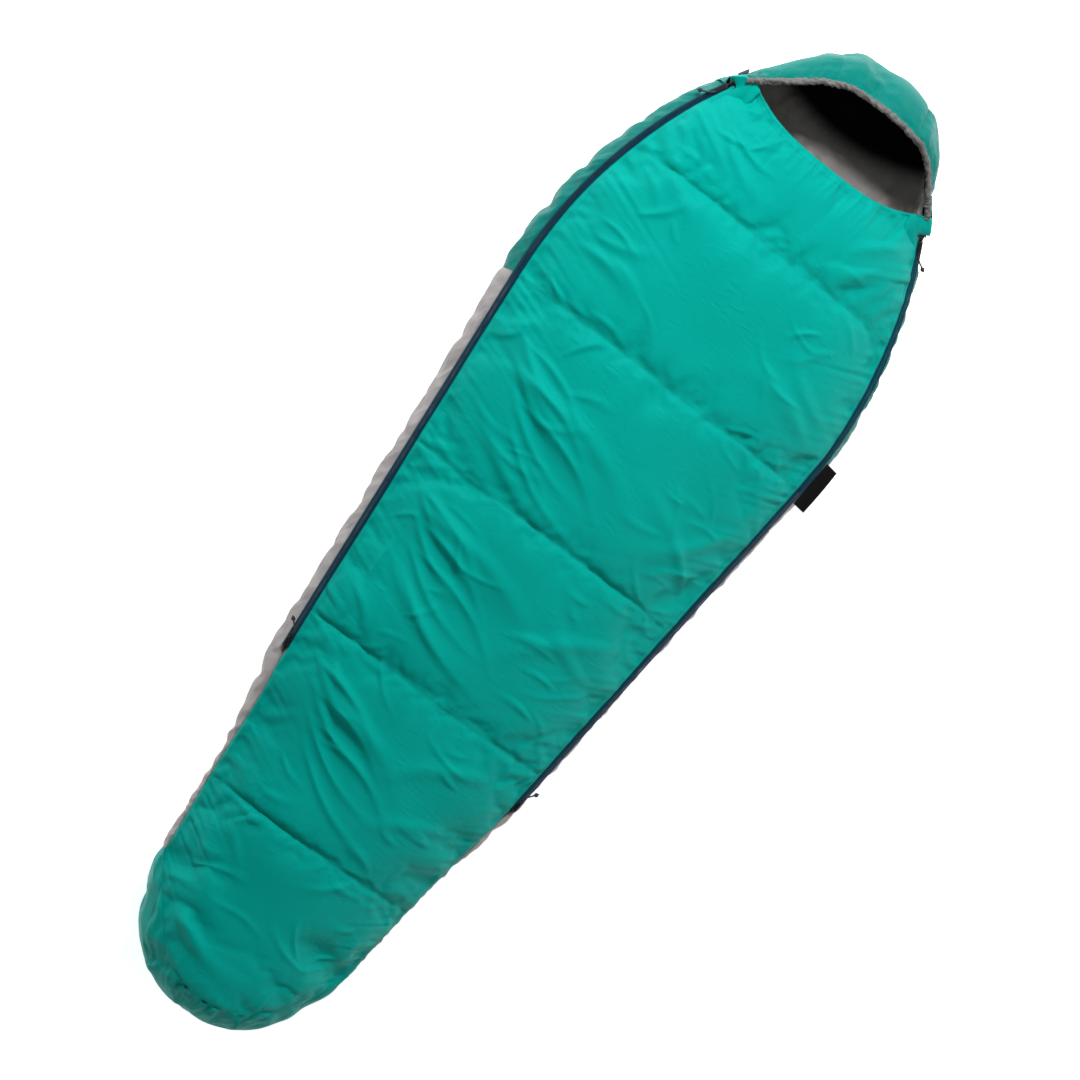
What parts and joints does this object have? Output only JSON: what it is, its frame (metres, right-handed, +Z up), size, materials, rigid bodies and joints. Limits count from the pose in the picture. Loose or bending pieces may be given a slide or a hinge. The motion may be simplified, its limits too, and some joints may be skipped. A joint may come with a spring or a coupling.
{
  "type": "mummy sleeping bag",
  "caption": "Quilted mummy sleeping bag lying on its back, with two side zips, a fold-back top flap, a domed foot and an open drawcord hood.",
  "frame": {"origin": "centre of the footprint, on the floor that the bag lies on", "axes": "+Y from the foot to the hood, +Z up out of the top panel, +X to the side with the tag"},
  "size_m": [0.7017, 2.0489, 0.1734],
  "materials": {
    "teal_shell": "satin",
    "grey_shell": "satin",
    "insulation": "matte",
    "lining": "satin",
    "zip_tape": "matte",
    "zip_coil": "satin",
    "slider_metal": "satin",
    "pull_cord": "matte",
    "drawcord": "matte",
    "hook_and_loop": "matte",
    "tag": "matte"
  },
  "bodies": {
    "root": {"back_insulation": "insulation", "back_lining": "lining", "back_shell_grey": "grey_shell", "back_shell_teal": "teal_shell", "draft_tube_left": "lining", "draft_tube_right": "lining", "foot_insulation": "insulation", "foot_lining": "lining", "foot_panel": "teal_shell", "hood_centre_panel": "teal_shell", "hood_drawcord": "drawcord", "hood_hem": "teal_shell", "hood_insulation": "insulation", "hood_lining": "lining", "hood_side_panel_left": "teal_shell", "hood_side_panel_right": "teal_shell", "loop_patch_left": "hook_and_loop", "loop_patch_right": "hook_and_loop", "side_tag": "tag", "top_legs_insulation": "insulation", "top_legs_lining": "lining", "top_legs_shell": "teal_shell", "zip_bottom_stop_left": "slider_metal", "zip_bottom_stop_right": "slider_metal", "zip_coil_back_left": "zip_coil", "zip_coil_back_right": "zip_coil", "zip_coil_legs_left": "zip_coil", "zip_coil_legs_right": "zip_coil", "zip_tape_back_left": "zip_tape", "zip_tape_back_right": "zip_tape", "zip_tape_legs_left": "zip_tape", "zip_tape_legs_right": "zip_tape", "zip_top_stop_left": "slider_metal", "zip_top_stop_right": "slider_metal"},
    "flap": {"closure_tab_left": "teal_shell", "closure_tab_right": "teal_shell", "flap_insulation": "insulation", "flap_lining": "lining", "flap_shell": "teal_shell", "hook_patch_left": "hook_and_loop", "hook_patch_right": "hook_and_loop", "zip_coil_flap_left": "zip_coil", "zip_coil_flap_right": "zip_coil", "zip_tape_flap_left": "zip_tape", "zip_tape_flap_right": "zip_tape"},
    "slider_lower_left": {"slider_lower_left": "slider_metal"},
    "pull_lower_left": {"slider_lower_left_pull": "slider_metal", "slider_lower_left_cord": "pull_cord"},
    "slider_upper_left": {"slider_upper_left": "slider_metal"},
    "pull_upper_left": {"slider_upper_left_pull": "slider_metal", "slider_upper_left_cord": "pull_cord"},
    "slider_lower_right": {"slider_lower_right": "slider_metal"},
    "pull_lower_right": {"slider_lower_right_pull": "slider_metal", "slider_lower_right_cord": "pull_cord"},
    "slider_upper_right": {"slider_upper_right": "slider_metal"},
    "pull_upper_right": {"slider_upper_right_pull": "slider_metal", "slider_upper_right_cord": "pull_cord"}
  },
  "joints": [
    {"name": "flap_fold", "type": "hinge", "parent": "root", "child": "flap", "pos_m": [0, 0.342, 0.1515], "axis": [1, 0, 0], "range_deg": [0, 175]},
    {"name": "slider_upper_left_travel", "type": "hinge", "parent": "root", "child": "slider_upper_left", "pos_m": [0.51902, 0.41839, 0.1], "axis": [0, 0, 1], "range_deg": [0, 32.53]},
    {"name": "slider_lower_left_travel", "type": "slide", "parent": "root", "child": "slider_lower_left", "axis": [-0.0907, 0.9959, 0], "range_m": [0, 0.72]},
    {"name": "pull_upper_left_swing", "type": "hinge", "parent": "slider_upper_left", "child": "pull_upper_left", "pos_m": [-0.22481, 0.81295, 0.1035], "axis": [-0.8834, 0.4686, 0], "range_deg": [0, 120]},
    {"name": "pull_lower_left_swing", "type": "hinge", "parent": "slider_lower_left", "child": "pull_lower_left", "pos_m": [-0.25173, -0.402, 0.1035], "axis": [0.9959, 0.0907, 0], "range_deg": [0, 150]},
    {"name": "slider_upper_right_travel", "type": "hinge", "parent": "root", "child": "slider_upper_right", "pos_m": [-0.51902, 0.41839, 0.1], "axis": [0, 0, -1], "range_deg": [0, 32.53]},
    {"name": "slider_lower_right_travel", "type": "slide", "parent": "root", "child": "slider_lower_right", "axis": [0.0907, 0.9959, 0], "range_m": [0, 0.72]},
    {"name": "pull_upper_right_swing", "type": "hinge", "parent": "slider_upper_right", "child": "pull_upper_right", "pos_m": [0.22481, 0.81295, 0.1035], "axis": [-0.8834, -0.4686, 0], "range_deg": [0, 120]},
    {"name": "pull_lower_right_swing", "type": "hinge", "parent": "slider_lower_right", "child": "pull_lower_right", "pos_m": [0.25173, -0.402, 0.1035], "axis": [0.9959, -0.0907, 0], "range_deg": [0, 150]}
  ],
  "couplings": [
    {"joint": "slider_upper_left_travel", "follows": "flap_fold", "ratio": 0.1857},
    {"joint": "slider_upper_right_travel", "follows": "flap_fold", "ratio": 0.1857}
  ]
}
